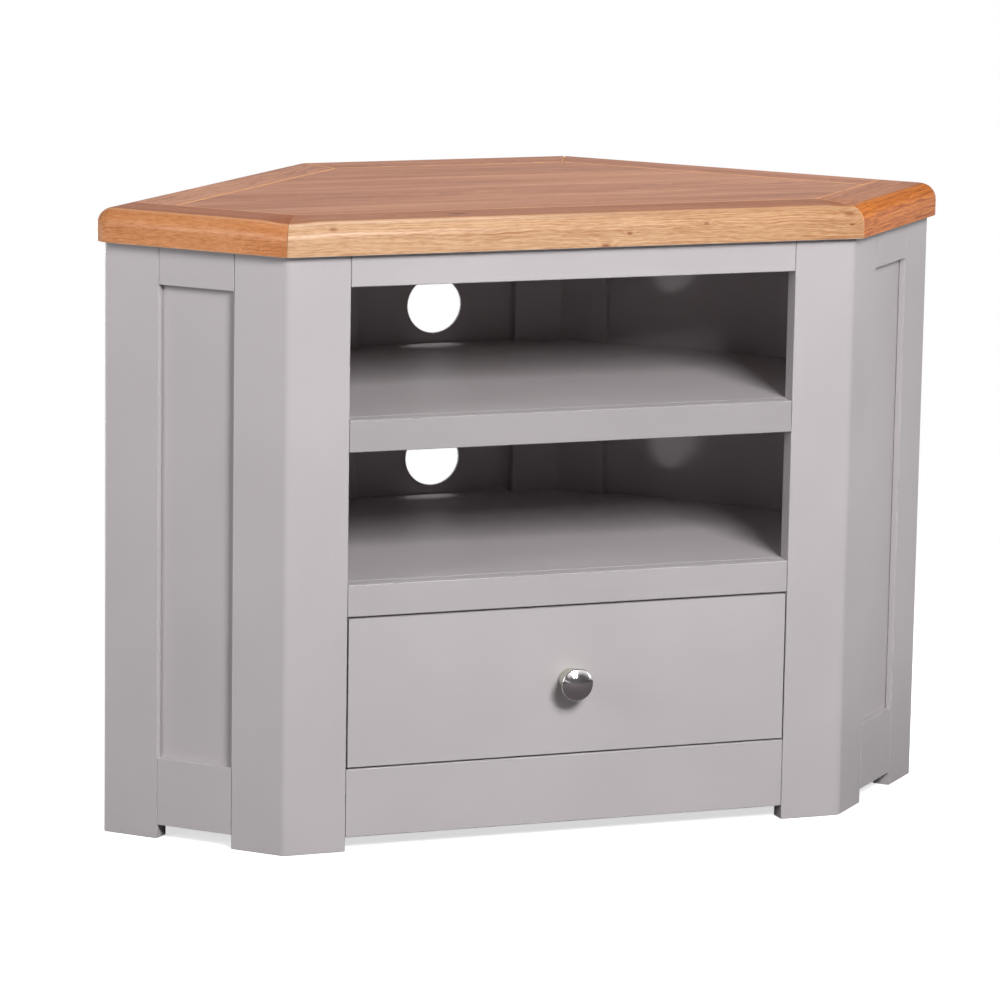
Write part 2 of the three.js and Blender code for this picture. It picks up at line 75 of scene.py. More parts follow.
# Lamps. A level of 1 lights a surface that faces the lamp, at the lamp's aim, so that its
# colour renders as it is written. The small lamp low at the back shines through the cable holes.
middle = Vector((0, 0, 0.3))
lamps = [
    {"name": "key", "place": (0.17, -2.62, 1.74), "aim": (0.10, -0.20, 0.20),
     "size": (0.86, 0.80), "level": 1.065},
    {"name": "left_fill", "place": (-2.68, -1.05, 1.22), "aim": middle,
     "size": (0.8, 1.4), "level": 0.25},
    {"name": "right_fill", "place": (2.80, -0.85, 1.20), "aim": middle,
     "size": (0.8, 1.4), "level": 0.115},
    {"name": "overhead", "place": (0.50, 1.30, 3.00), "aim": (0, 0, 0.6),
     "size": (1.0, 0.8), "level": 0.32},
    {"name": "back_fill", "place": (0.30, 3.20, 0.14), "aim": middle,
     "size": (1.6, 0.22), "level": 0.42},
    {"name": "low_back_lamp", "place": (-1.46, 0.81, 0.126), "aim": middle,
     "size": (0.05, 0.05), "level": 0.33},
]


def make_lamps():
    for lamp in lamps:
        place = Vector(lamp["place"])
        toward = place - Vector(lamp["aim"])
        data = bpy.data.lights.new(lamp["name"], "AREA")
        data.shape = "RECTANGLE"
        data.size, data.size_y = lamp["size"]
        data.energy = lamp["level"] * (math.pi * toward.length) ** 2
        made = bpy.data.objects.new(lamp["name"], data)
        bpy.context.scene.collection.objects.link(made)
        made.location = place
        made.rotation_mode = "QUATERNION"
        made.rotation_quaternion = (-toward).to_track_quat("-Z", "Y")


class Wire:
    """A socket in a node tree. Arithmetic on wires adds the Math nodes that work it out."""

    def __init__(self, tree, socket):
        self.tree = tree
        self.socket = socket

    def math(self, operation, *values):
        return self.tree.node("ShaderNodeMath", {"operation": operation}, dict(enumerate(values)))

    def __add__(self, other):
        return self.math("ADD", self, other)

    def __sub__(self, other):
        return self.math("SUBTRACT", self, other)

    def __rsub__(self, other):
        return self.math("SUBTRACT", other, self)

    def __mul__(self, other):
        return self.math("MULTIPLY", self, other)

    def __truediv__(self, other):
        return self.math("DIVIDE", self, other)

    __radd__ = __add__
    __rmul__ = __mul__

    def floor(self):
        return self.math("FLOOR", self)

    def fraction(self):
        return self.math("FRACT", self)

    def root(self):
        return self.math("SQRT", self)

    def larger(self, other):
        return self.math("MAXIMUM", self, other)

    def within(self):
        """Held between 0 and 1."""
        return self.math("MINIMUM", self.larger(0.0), 1.0)

    def swing(self, amount):
        """Taken about its middle of a half, and scaled to the amount."""
        return (self - 0.5) * amount

    def step(self, low, high):
        """Rises smoothly from 0 at low to 1 at high."""
        return self.tree.node("ShaderNodeMapRange", {"interpolation_type": "SMOOTHSTEP"},
                              {"Value": self, "From Min": low, "From Max": high})

    def parts(self):
        return [self.tree.node("ShaderNodeSeparateXYZ", {}, {0: self}, i) for i in range(3)]


class Tree:
    """The node tree of a material or of the world."""

    def __init__(self, owner):
        owner.use_nodes = True
        self.nodes = owner.node_tree.nodes
        self.links = owner.node_tree.links
        self.nodes.clear()

    def node(self, kind, settings, inputs, output=0):
        """Adds a node with its settings and its sockets' values or wires, and gives an output."""
        made = self.nodes.new(kind)
        for name, value in settings.items():
            setattr(made, name, value)
        for name, value in inputs.items():
            socket = made.inputs[name]
            if isinstance(value, Wire):
                self.links.new(value.socket, socket)
            elif socket.type == "RGBA":
                socket.default_value = (*value, 1)
            else:
                socket.default_value = value
        return Wire(self, made.outputs[output]) if made.outputs else None

    def mix(self, factor, first, second):
        """Blends two colours."""
        return self.node(
            "ShaderNodeMix", {"data_type": "RGBA"}, {0: factor, 6: first, 7: second}, 2)

    def vector(self, operation, *values, output=0):
        """Vector maths on wires or constant vectors. Lengths and dot products are output 1."""
        return self.node("ShaderNodeVectorMath", {"operation": operation},
                         dict(enumerate(values)), output)

    def gather(self, *numbers):
        """A vector from its parts."""
        return self.node("ShaderNodeCombineXYZ", {}, dict(enumerate(numbers)))

    def shade(self, factor, colour):
        """Multiplies a colour by a number."""
        return self.node(
            "ShaderNodeVectorMath", {"operation": "SCALE"}, {0: colour, "Scale": factor})

    def noise(self, place, scale, detail=3.0, roughness=0.55):
        return self.node("ShaderNodeTexNoise", {}, {
            "Vector": place, "Scale": scale, "Detail": detail, "Roughness": roughness})

    def place(self, heading=0.0, stretch=(1, 1, 1), shift=(0, 0, 0)):
        """Object coordinates, turned so that X runs along the heading, shifted, and stretched."""
        coordinates = self.node("ShaderNodeTexCoord", {}, {}, 3)
        turned = self.node("ShaderNodeMapping", {}, {
            "Vector": coordinates, "Rotation": (0, 0, -heading), "Location": shift})
        return self.vector("MULTIPLY", turned, stretch)

    def surface(self, **sockets):
        """A Principled surface from socket names written with underscores, joined to the output."""
        named = {name.replace("_", " "): value for name, value in sockets.items()}
        shader = self.node("ShaderNodeBsdfPrincipled", {}, named)
        self.node("ShaderNodeOutputMaterial", {}, {"Surface": shader})

    def bump(self, height, depth, strength=1.0):
        return self.node(
            "ShaderNodeBump", {}, {"Height": height, "Distance": depth, "Strength": strength})


# The room: a white backdrop behind the cabinet, and a dimmer studio in front of it. A gloss
# loses the backdrop where its direction rises from the low value to the high one.
room_turn = 0.3
backdrop_light = 0.14
backdrop_low = 0.06
backdrop_high = 0.24
studio_light = 0.035
studio_reflection = (0.10, 0.10, 0.10)
white = (1, 1, 1)

# Two long softboxes that only glosses show: the way each one faces, the range of the direction
# along that way that it fills, and its ends from left to right
long_box = {"facing": (-0.233, 0.845, 0.482), "low": -0.47, "high": -0.24,
            "left": -0.40, "right": 2.0}
thin_box = {"facing": (0.354, -0.081, 0.932), "low": -0.03, "high": 0.03,
            "left": -0.68, "right": 0.0}
softbox_edge = 0.025
softbox_fade = 0.6


def seen_directly(tree):
    """Three wires that are 1 for rays from the camera, from a gloss, and through glass."""
    return [tree.node("ShaderNodeLightPath", {}, {}, f"Is {kind} Ray")
            for kind in ("Camera", "Glossy", "Transmission")]


def softbox(tree, direction, box):
    """1 where a direction meets a softbox, soft at its edges and fading to its right."""
    facing = tree.vector("DOT_PRODUCT", direction, box["facing"], output=1)
    above = facing.step(box["low"] - softbox_edge, box["low"])
    below = 1 - facing.step(box["high"], box["high"] + softbox_edge)
    across = direction.parts()[0]
    inward = across.step(box["left"] - softbox_edge, box["left"])
    fading = 1 - across.step(box["right"] - softbox_fade, box["right"])
    return above * below * inward * fading


def make_world():
    world = bpy.data.worlds.new("studio")
    bpy.context.scene.world = world
    tree = Tree(world)
    camera_ray, glossy_ray, through_ray = seen_directly(tree)
    direction = tree.node("ShaderNodeTexCoord", {}, {}, 0)
    _, back, up = direction.parts()
    behind = back.step(-room_turn, room_turn)
    light = tree.shade(studio_light + behind * (backdrop_light - studio_light), white)
    boxes = (softbox(tree, direction, long_box) + softbox(tree, direction, thin_box)) * (1 - behind)
    backdrop = behind * (1 - up.step(backdrop_low, backdrop_high))
    gloss = tree.mix(backdrop + boxes, studio_reflection, white)
    colour = tree.mix(glossy_ray, light, gloss)
    colour = tree.mix(camera_ray.larger(through_ray), colour, white)
    background = tree.node("ShaderNodeBackground", {}, {"Color": colour, "Strength": 1.0})
    tree.node("ShaderNodeOutputWorld", {}, {"Surface": background})


# The floor keeps the cabinet's shadow near it, and fades into the white backdrop
floor_size = 30
floor_colour = (0.85, 0.85, 0.85)
floor_bounce = (0.19, 0.19, 0.19)
floor_reflection = (0.125, 0.114, 0.121)
floor_glow = 0.66
floor_fade_start = 0.7
floor_fade_end = 1.5
floor_gloss_front = -0.1
floor_gloss_back = 0.3


def make_floor():
    bpy.ops.object.select_all(action="DESELECT")
    bpy.ops.mesh.primitive_plane_add(size=floor_size)
    floor = bpy.context.object
    floor.name = "studio_floor"
    material = bpy.data.materials.new("floor_paper")
    tree = Tree(material)
    camera_ray, glossy_ray, through_ray = seen_directly(tree)
    x, y, _ = tree.node("ShaderNodeTexCoord", {}, {}, 3).parts()
    away = (x * x + y * y).root().step(floor_fade_start, floor_fade_end)
    paper = tree.node("ShaderNodeBsdfDiffuse", {}, {"Color": floor_colour})
    dim = tree.mix(glossy_ray, floor_bounce, floor_reflection)
    bounce = tree.node("ShaderNodeBsdfDiffuse", {}, {"Color": dim})
    lit = tree.node("ShaderNodeEmission", {}, {"Color": white, "Strength": floor_glow})
    near = tree.node("ShaderNodeAddShader", {}, {0: paper, 1: lit})
    far = tree.node("ShaderNodeEmission", {}, {"Color": white, "Strength": 1.0})
    shown = tree.node("ShaderNodeMixShader", {}, {0: away, 1: near, 2: far})
    behind = y.step(floor_gloss_front, floor_gloss_back)
    direct = camera_ray.larger(through_ray).larger(glossy_ray * behind)
    surface = tree.node("ShaderNodeMixShader", {}, {0: direct, 1: bounce, 2: shown})
    tree.node("ShaderNodeOutputMaterial", {}, {"Surface": surface})
    floor.data.materials.append(material)


# The splayed faces' boards are turned in plan by an eighth, either way
eighth_turn = math.pi / 4

# Satin paint. Its rates are changes per metre.
paint_colour = (0.500, 0.464, 0.476)
paint_shadow_colour = (0.470, 0.435, 0.447)
paint_roughness = 0.46
paint_gloss = 1.42
paint_cloud_rate = 7.0
brush_length_rate = 9.0
brush_width_rate = 420
brush_depth = 0.00012
brush_strength = 0.5
brush_low_tone = 0.985
brush_tone_range = 0.03

# A lipping's top changes tone between these distances behind its front, to the shelves' paler tone,
# which is painted light
lipping_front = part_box("upper_shelf_lipping")[0].y
lipping_top_start = 0.3 * millimetre
lipping_top_end = 0.9 * millimetre


def make_paint(name, heading, upright, tone=1.0, top_painted_light_tone=None):
    """Paint with faint brush marks along the board's length. A lipping's top can take the shelves'
    paler tone, which is painted light, starting behind its front."""
    material = bpy.data.materials.new(name)
    tree = Tree(material)
    stretch = (brush_length_rate, brush_width_rate, brush_width_rate)
    if upright:
        stretch = (brush_width_rate, brush_width_rate, brush_length_rate)
    strokes = tree.noise(tree.place(heading, stretch), 1.0, 4.0, 0.6)
    cloud = tree.noise(tree.place(heading), paint_cloud_rate, 3.0, 0.5)
    colour = tree.mix(cloud.step(0.3, 0.75), paint_colour, paint_shadow_colour)
    # A lipping's top takes the shelves' paler tone: painted light
    if top_painted_light_tone:
        behind = tree.place().parts()[1].step(
            lipping_front + lipping_top_start, lipping_front + lipping_top_end)
        tone = behind * (top_painted_light_tone - tone) + tone
    colour = tree.shade((brush_low_tone + strokes * brush_tone_range) * tone, colour)
    roughness = paint_roughness + cloud.swing(0.12) + strokes.swing(0.08)
    tree.surface(Base_Color=colour, Roughness=roughness, IOR=paint_gloss,
                 Normal=tree.bump(strokes, brush_depth, brush_strength))
    return material


# Lacquered oak. Its rings are worked out about a pith that lies outside the board.
oak_pore = (0.20, 0.075, 0.028)
oak_knot = (0.22, 0.062, 0.020)
# A paler oak for the eased edges and for a rim along the roundover: a painted highlight
oak_edge_highlight = (0.84, 0.43, 0.20)
oak_roughness = 0.50
oak_gloss = 1.20
lacquer = 0.30
lacquer_sheen = 0.24
lacquer_gloss = 1.45

# Its figure, in changes per metre along the grain and across it
slow_rate = (1.6, 11)
band_length_rate = 3.0
line_rate = (22, 400)
dash_rate = (120, 760)
pore_rate = (60, 1300)
sway_rate = (9, 45)
wobble_rate = 22.0
ray_rate = (260, 260, 110)
ray_patch_rate = (14, 30)
edge_cloud_rate = 60.0

# Each stave of the panel comes from another place in the plank, up to this far along and across
stave_run = 7
stave_sway = 0.31

# How strongly the parts of the figure show
slow_share = 0.9
figure_level = 0.45
stave_low_tone = 0.94
stave_tone_range = 0.12
pore_share = 0.40
knot_share = 0.8
grain_depth = 0.0001
grain_strength = 0.5

# A knot is drawn out along the grain. Its distances are shares of its radius.
knot_squeeze = (0.45, 1, 1)
knot_pull_reach = 5
knot_pull_share = 2.2
knot_heart = 0.2
knot_rim = 1.2

# Where the flat's tint and the paler rim outside it begin, from the start of the flat outward. The
# rim is a painted highlight, and the tint is partly painted reflection.
flat_fade = 3 * millimetre
highlight_rim_inner = 4 * millimetre
highlight_rim_outer = 8 * millimetre

# The top is painted grey up to these heights, just above the undersides of its boards
rail_underside = 0.5787
panel_underside = 0.5906
underside_edge = 0.4 * millimetre


def knot_pull(tree, place, knots):
    """How far each knot pushes the rings aside, and how dark the knots are, at a place."""
    pull = 0.0
    dark = 0.0
    for x, y, z, radius in knots:
        away = tree.vector("MULTIPLY", tree.vector("SUBTRACT", place, (x, y, z)), knot_squeeze)
        reach = tree.vector("LENGTH", away, output=1)
        near = 1 - reach.step(0, radius * knot_pull_reach)
        pull = near * near * radius * knot_pull_share + pull
        dark = (1 - reach.step(radius * knot_heart, radius * knot_rim)) + dark
    return pull, dark


def above_paint(tree, underside, colour):
    """The colour of a board of the top, with grey paint on its underside."""
    height = tree.place().parts()[2]
    return tree.mix(height.step(underside - underside_edge, underside), paint_colour, colour)


def make_oak(name, heading, pith, light, dark, shift=(0, 0, 0), knots=(), fleck=0.0, wave=0.006,
             spacing=0.0026, ringed=0.35, lined=1.6, banded=0.8, banding=90, dashed=1.2,
             staves=None, stretch=1.0, fine=1.0, face=None, face_start=0.0, rim=0.4, drift=None,
             underside=rail_underside):
    """Oak with its grain along the heading. The pith is given as [across, height]. The face is a
    tint for the flat of the top, which starts inside the roundover: partly the flat's own colour
    and partly painted reflection, the pale pinkish sheen of the lacquered flat. The rim is the
    share of a paler band along the top of the roundover, a painted highlight. The drift is a tint
    that comes in between two distances along the board."""
    material = bpy.data.materials.new(name)
    tree = Tree(material)
    board = tree.place(heading)
    grain = tree.place(heading, shift=shift)
    x, y, z = grain.parts()
    tone = 0.5
    if staves:
        stave = (y / staves).floor()
        tone = tree.node("ShaderNodeTexWhiteNoise", {"noise_dimensions": "1D"}, {"W": stave})
        grain = tree.gather(x + tone * stave_run, y + tone * stave_sway, z)
        x, y, z = grain.parts()

    def streaks(along, across, detail, roughness=0.55):
        stretched = tree.vector("MULTIPLY", grain, (along, across, across))
        return tree.noise(stretched, 1.0, detail, roughness)

    wobble = tree.noise(grain, wobble_rate, 2.0, 0.5).swing(wave)
    grain = tree.gather(x, y + wobble, z + wobble)
    x, y, z = grain.parts()
    slow = streaks(*slow_rate, 3.0)
    bands = streaks(band_length_rate, banding, 3.0)
    lines = streaks(line_rate[0] / stretch, line_rate[1] * fine, 3.0, 0.6)
    dashes = streaks(dash_rate[0] / stretch, dash_rate[1] * fine, 2.0, 0.6)
    pores = streaks(*pore_rate, 2.0)
    pull, knot = knot_pull(tree, board, knots)
    across = y - pith[0]
    up = z - pith[1]
    sway = streaks(*sway_rate, 3.0) * wave
    ring = (across * across + up * up).root() + slow * wave * 5 + sway + pull
    late = (ring / spacing).fraction().step(0.1, 0.9)
    depth = slow.swing(slow_share) + bands.swing(banded) + lines.swing(lined) + figure_level
    depth = depth + dashes.swing(dashed) + late.swing(ringed)
    colour = tree.mix(depth.within(), light, dark)
    colour = tree.shade(stave_low_tone + tone * stave_tone_range, colour)
    pore = pores.step(0.60, 0.72) * (1 - late * 0.6) * pore_share
    colour = tree.mix(pore, colour, oak_pore)
    if fleck:
        rays = tree.noise(tree.vector("MULTIPLY", grain, ray_rate), 1.0, 2.0, 0.5)
        patches = streaks(*ray_patch_rate, 2.0).step(0.52, 0.62)
        colour = tree.mix(rays.step(0.56, 0.68) * patches * fleck, colour, light)
    if knots:
        colour = tree.mix(knot.within() * knot_share, colour, oak_knot)
    if drift:
        start, end, tint = drift
        drifted = tree.vector("MULTIPLY", colour, tint)
        colour = tree.mix(board.parts()[0].step(start, end), colour, drifted)
    if face:
        # The flat's tint is partly painted reflection of its sheen
        inward = board.parts()[1]
        flat = inward.step(face_start - flat_fade, face_start)
        # A paler rim along the top of the roundover: a painted highlight
        edge = inward.step(face_start - highlight_rim_outer, face_start - highlight_rim_inner) * rim
        flat_tint_and_sheen = tree.vector("MULTIPLY", colour, face)
        colour = tree.mix(flat, tree.mix(edge, colour, oak_edge_highlight), flat_tint_and_sheen)
    colour = above_paint(tree, underside, colour)
    roughness = oak_roughness + pore * 0.3 + slow.swing(0.1)
    tree.surface(Base_Color=colour, Roughness=roughness, IOR=oak_gloss, Coat_Weight=lacquer,
                 Coat_Roughness=lacquer_sheen, Coat_IOR=lacquer_gloss,
                 Normal=tree.bump(late * 0.3 + lines - pore, grain_depth, grain_strength))
    return material


def make_oak_edge():
    """The paler oak of the eased edges, seen as a thin line at each joint of the top: a painted
    highlight where the eased edges catch the light.
    """
    material = bpy.data.materials.new("oak_eased_edge_highlight")
    tree = Tree(material)
    cloud = tree.noise(tree.place(), edge_cloud_rate, 3.0, 0.6)
    colour = above_paint(tree, rail_underside, tree.shade(0.85 + cloud * 0.3, oak_edge_highlight))
    tree.surface(Base_Color=colour, Roughness=oak_roughness, IOR=oak_gloss)
    return material


# Bare softwood and ply: the drawer box, what it runs on, and the battens
bare_light = (0.76, 0.60, 0.39)
bare_dark = (0.60, 0.41, 0.21)
bare_roughness = 0.62
bare_gloss = 1.4
bare_ring_spacing = 0.0065
bare_slow_rate = (2, 12, 12)
bare_fibre_rate = (24, 1300, 1300)


def make_bare_wood(name, heading):
    material = bpy.data.materials.new(name)
    tree = Tree(material)
    place = tree.place(heading)
    _, y, z = place.parts()
    slow = tree.noise(tree.vector("MULTIPLY", place, bare_slow_rate), 1.0, 3.0, 0.5)
    ring = (y * 0.9 + z * 0.5 + slow * 0.09) / bare_ring_spacing
    late = ring.fraction().step(0.35, 0.95)
    fibre = tree.noise(tree.vector("MULTIPLY", place, bare_fibre_rate), 1.0, 2.0, 0.6)
    colour = tree.mix(late * 0.55 + fibre.swing(0.3), bare_light, bare_dark)
    tree.surface(Base_Color=colour, Roughness=bare_roughness + fibre.swing(0.1), IOR=bare_gloss,
                 Normal=tree.bump(fibre + late * 0.3, grain_depth, grain_strength))
    return material


# Metals. Pitch and depth are those of the fine rings left by the tool, in metres.
knob_face_metal = {
    "colour": (0.81, 0.77, 0.775), "roughness": 0.13, "pitch": 0.00035, "depth": 0.000002}
# The knob's body is a darker, greener copy of its face's metal: painted reflection of the dim
# surroundings its flank shows
knob_body_metal_painted_reflection = {
    "colour": (0.50, 0.50, 0.41), "roughness": 0.20, "pitch": 0.00035, "depth": 0.000002}
screw_metal = {
    "colour": (0.56, 0.55, 0.50), "roughness": 0.38, "pitch": 0.0004, "depth": 0.00002}
metal_cloud_rate = 140.0


def make_metal(name, centre, colour, roughness, pitch, depth):
    """Metal turned about a line along Y through the centre."""
    material = bpy.data.materials.new(name)
    tree = Tree(material)
    x, _, z = tree.place(shift=(-centre.x, 0, -centre.z)).parts()
    radius = (x * x + z * z).root()
    rings = tree.noise(tree.gather(radius / pitch), 1.0, 3.0, 0.6)
    cloud = tree.noise(tree.place(), metal_cloud_rate, 3.0, 0.5)
    tree.surface(Base_Color=tree.shade(0.94 + cloud * 0.12, colour), Metallic=1.0,
                 Roughness=roughness + cloud.swing(0.08), Normal=tree.bump(rings, depth))
    return material


def take_on(piece, body, slot, *nodes):
    """Hides the parts that a piece stands in for, and gives the piece its place among the cabinet's
    bodies. The slot is not used.
    """
    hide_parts(*nodes)
    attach(piece, body)


def apply_all(piece):
    bpy.ops.object.select_all(action="DESELECT")
    bpy.context.view_layer.objects.active = piece
    piece.select_set(True)
    for modifier in list(piece.modifiers):
        bpy.ops.object.modifier_apply(modifier=modifier.name)


# Boards whose corners are eased, as after sanding and painting
weld_distance = 0.01 * millimetre
flat_angle = math.radians(0.5)
sharp_angle = math.radians(28)
ease_segments = 2
large_face_weight = 100


def eased(node, width, materials, corners=()):
    """A copy of a board with every sharp edge rounded over, and the corners given sanded down.
    The rounded edges take the last of the materials."""
    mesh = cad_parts[node].data.copy()
    mesh.name = node + "_board"
    mesh.materials.clear()
    for material in materials:
        mesh.materials.append(material)
    piece = bpy.data.objects.new(node + "_board", mesh)
    bpy.context.scene.collection.objects.link(piece)
    bpy.ops.object.select_all(action="DESELECT")
    bpy.context.view_layer.objects.active = piece
    piece.select_set(True)
    bpy.ops.object.mode_set(mode="EDIT")
    bpy.ops.mesh.select_all(action="SELECT")
    bpy.ops.mesh.remove_doubles(threshold=weld_distance)
    bpy.ops.mesh.dissolve_limited(angle_limit=flat_angle)
    bpy.ops.object.mode_set(mode="OBJECT")
    for corner, along in corners:
        sand_corner(piece, corner, along)
    bpy.ops.object.shade_smooth()
    bevel = piece.modifiers.new("ease", "BEVEL")
    bevel.width = width
    bevel.segments = ease_segments
    bevel.limit_method = "ANGLE"
    bevel.angle_limit = sharp_angle
    bevel.material = len(materials) - 1
    normals = piece.modifiers.new("normals", "WEIGHTED_NORMAL")
    normals.keep_sharp = False
    normals.weight = large_face_weight
    apply_all(piece)
    return piece


carcass = "cabinet"
drawer = "drawer"
painted_ease = 0.9 * millimetre
oak_ease = 1.2 * millimetre
bare_ease = 0.5 * millimetre

# Paints by the way the boards run. The shelves are painted a little paler, as painted light in
# place of the light that bounces around the bays; their lippings are darker.
shelf_painted_light_tone = 1.16
upper_lipping_tone = 0.79
lower_lipping_tone = 0.92
paints = {
    "upright": make_paint("grey_paint_upright", 0, True),
    "along": make_paint("grey_paint_along", 0, False),
    "right_splay": make_paint("grey_paint_right_splay", eighth_turn, False),
    "left_splay": make_paint("grey_paint_left_splay", -eighth_turn, False),
    "upper_lipping": make_paint(
        "grey_paint_upper_lipping", 0, False, upper_lipping_tone, shelf_painted_light_tone),
    "lower_lipping": make_paint(
        "grey_paint_lower_lipping", 0, False, lower_lipping_tone, shelf_painted_light_tone),
    "shelf": make_paint("grey_paint_shelf_painted_light", 0, False, shelf_painted_light_tone),
}
painted_boards = {
    "upright": [
        "front_left_post", "front_right_post", "side_right_post", "side_left_post",
        "back_right_post", "back_left_post",
        "right_side_panel", "left_side_panel",
        "back_panel", "back_left_panel", "back_right_panel",
    ],
    "along": [
        "front_bottom_rail", "front_top_rail", "back_bottom_rail", "back_top_rail", "base_panel",
    ],
    "shelf": ["upper_shelf", "lower_shelf"],
    "upper_lipping": ["upper_shelf_lipping"],
    "lower_lipping": ["lower_shelf_lipping"],
    "right_splay": [
        "right_side_bottom_rail", "right_side_top_rail",
        "back_left_bottom_rail", "back_left_top_rail",
    ],
    "left_splay": [
        "left_side_bottom_rail", "left_side_top_rail",
        "back_right_bottom_rail", "back_right_top_rail",
    ],
}


def make_painted_boards():
    for run, nodes in painted_boards.items():
        for node in nodes:
            take_on(eased(node, painted_ease, [paints[run]]), carcass, "painted_wood", node)
    front = eased("drawer_front", painted_ease, [paints["along"]])
    take_on(front, drawer, "painted_wood", "drawer_front")


# The top's boards, each from its own plank. A knot is [along, across, height, radius] in the
# board's own turned frame.
pale_oak = {"light": (0.645, 0.405, 0.240), "dark": (0.41, 0.195, 0.092)}
warm_oak = {"light": (0.74, 0.345, 0.155), "dark": (0.46, 0.160, 0.050)}
red_oak = {"light": (0.74, 0.245, 0.055), "dark": (0.37, 0.085, 0.014)}
top_oak = {"light": (0.755, 0.345, 0.195), "dark": (0.42, 0.150, 0.076)}
back_figure = {"banded": 1.5, "banding": 60}
# A board's face tint is partly painted reflection, the sheen of its flat; its rim is a painted
# highlight
oak_boards = {
    "top_front_rail": {
        "heading": 0, "pith": (-0.35, 0.50), **pale_oak,
        "ringed": 0.36, "wave": 0.0035, "banded": 1.1, "lined": 1.5, "dashed": 2.0,
        "stretch": 1.6, "fine": 1.3,
        "face": (0.90, 0.59, 0.48), "drift": (0.02, 0.24, (0.98, 0.93, 0.86)),
        "knots": [(-0.2464, -0.211, 0.604, 0.0026), (0.0248, -0.2134, 0.5795, 0.0026),
                  (0.0492, -0.2134, 0.5907, 0.0016), (0.1279, -0.2134, 0.598, 0.0018),
                  (0.2795, -0.2134, 0.5925, 0.0016), (0.278, -0.211, 0.6035, 0.0040),
                  (-0.112, -0.178, 0.610, 0.0060)],
    },
    "top_left_rail": {
        "heading": -eighth_turn, "pith": (-0.10, 0.35), **warm_oak, "shift": (2, 0, 0),
        "fleck": 0.8, "ringed": 0.10, "wave": 0.004, "lined": 0.9, "dashed": 1.5,
        "face": (0.78, 0.62, 0.60), "drift": (-0.14, -0.04, (0.90, 0.80, 0.72)),
    },
    "top_right_rail": {
        "heading": eighth_turn, "pith": (0.30, 0.30), **red_oak, "shift": (5, 0, 0),
        "wave": 0.006, "spacing": 0.0022, "ringed": 0.3, "banded": 1.2, "lined": 1.7,
        "dashed": 2.0, "stretch": 4.0, "face": (0.93, 1.19, 2.65), "rim": 0.0,
    },
    "top_back_left_rail": {
        "heading": eighth_turn, "pith": (0.3, 0.40), **top_oak, **back_figure, "shift": (8, 0, 0),
    },
    "top_back_right_rail": {
        "heading": -eighth_turn, "pith": (0.1, 0.42), **top_oak, **back_figure,
        "shift": (11, 0, 0),
    },
    "top_back_rail": {
        "heading": 0, "pith": (0.5, 0.45), **top_oak, **back_figure, "shift": (14, 0, 0),
    },
    "top_panel": {
        "heading": 0, "pith": (0.02, 0.40), **top_oak, "shift": (17, 0, 0),
        "banded": 1.7, "banding": 42, "lined": 1.0, "dashed": 0.6, "wave": 0.004, "ringed": 0.22,
        "staves": 0.086, "drift": (-0.20, 0.25, (1.07, 1.11, 1.13)),
        "underside": panel_underside,
    },
}

# The two front corners of the top are sanded down a little, over cuts this far from each in mm
sanding_cuts = [6, 12, 18, 25, 33, 42, 52]
sanded_drop = 1.8 * millimetre
sanded_core = 17 * millimetre
sanded_reach = 27 * millimetre
sanded_height = 5 * millimetre


def sand_corner(piece, corner, along):
    """Cuts a board across near its corner, and eases the corner down."""
    bpy.ops.object.mode_set(mode="EDIT")
    for cut in sanding_cuts:
        bpy.ops.mesh.select_all(action="SELECT")
        bpy.ops.mesh.bisect(plane_co=corner + along * cut * millimetre, plane_no=along)
    bpy.ops.mesh.select_all(action="DESELECT")
    bpy.ops.object.mode_set(mode="OBJECT")
    for vertex in piece.data.vertices:
        near = (vertex.co - corner).length < sanded_core
        vertex.select = near and vertex.co.z > corner.z - sanded_height
    bpy.ops.object.mode_set(mode="EDIT")
    bpy.ops.transform.translate(
        value=(0, 0, -sanded_drop), use_proportional_edit=True,
        proportional_edit_falloff="SMOOTH", proportional_size=sanded_reach)
    bpy.ops.object.mode_set(mode="OBJECT")


# Where the flat of the top starts, inside its outer edge
roundover = 16 * millimetre


def make_top():
    low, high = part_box("top_front_rail")
    left_corner = Vector((low.x, low.y, high.z))
    right_corner = Vector((high.x, low.y, high.z))
    across = Vector((1, 0, 0))
    corners = {
        "top_front_rail": [(left_corner, across), (right_corner, -across)],
        "top_left_rail": [(left_corner, Vector((-1, 1, 0)).normalized())],
        "top_right_rail": [(right_corner, Vector((1, 1, 0)).normalized())],
    }
    edge = make_oak_edge()
    for node, plank in oak_boards.items():
        sanded = corners.get(node, ())
        if sanded:
            corner = sanded[0][0]
            heading = plank["heading"]
            outer = corner.y * math.cos(heading) - corner.x * math.sin(heading)
            plank = {**plank, "face_start": outer + roundover}
        piece = eased(node, oak_ease, [make_oak(node + "_oak", **plank), edge], sanded)
        take_on(piece, carcass, "oak", node)


def make_bare_boards():
    """The drawer box, what it runs on, and the battens under the top."""
    deep = make_bare_wood("bare_wood_deep", math.pi / 2)
    wide = make_bare_wood("bare_wood_wide", 0)
    for side in ("left", "right"):
        node = f"drawer_{side}_side"
        take_on(eased(node, bare_ease, [deep]), drawer, "bare_wood", node)
        for part in ("guide", "runner", "kicker"):
            node = f"drawer_{side}_{part}"
            take_on(eased(node, bare_ease, [deep]), carcass, "bare_wood", node)
        node = f"drawer_{side}_stop"
        take_on(eased(node, bare_ease, [wide]), carcass, "bare_wood", node)
    for node in ("drawer_back", "drawer_bottom"):
        take_on(eased(node, bare_ease, [wide]), drawer, "bare_wood", node)
    for node in ("top_front_batten", "top_back_batten"):
        take_on(eased(node, bare_ease, [wide]), carcass, "bare_wood", node)


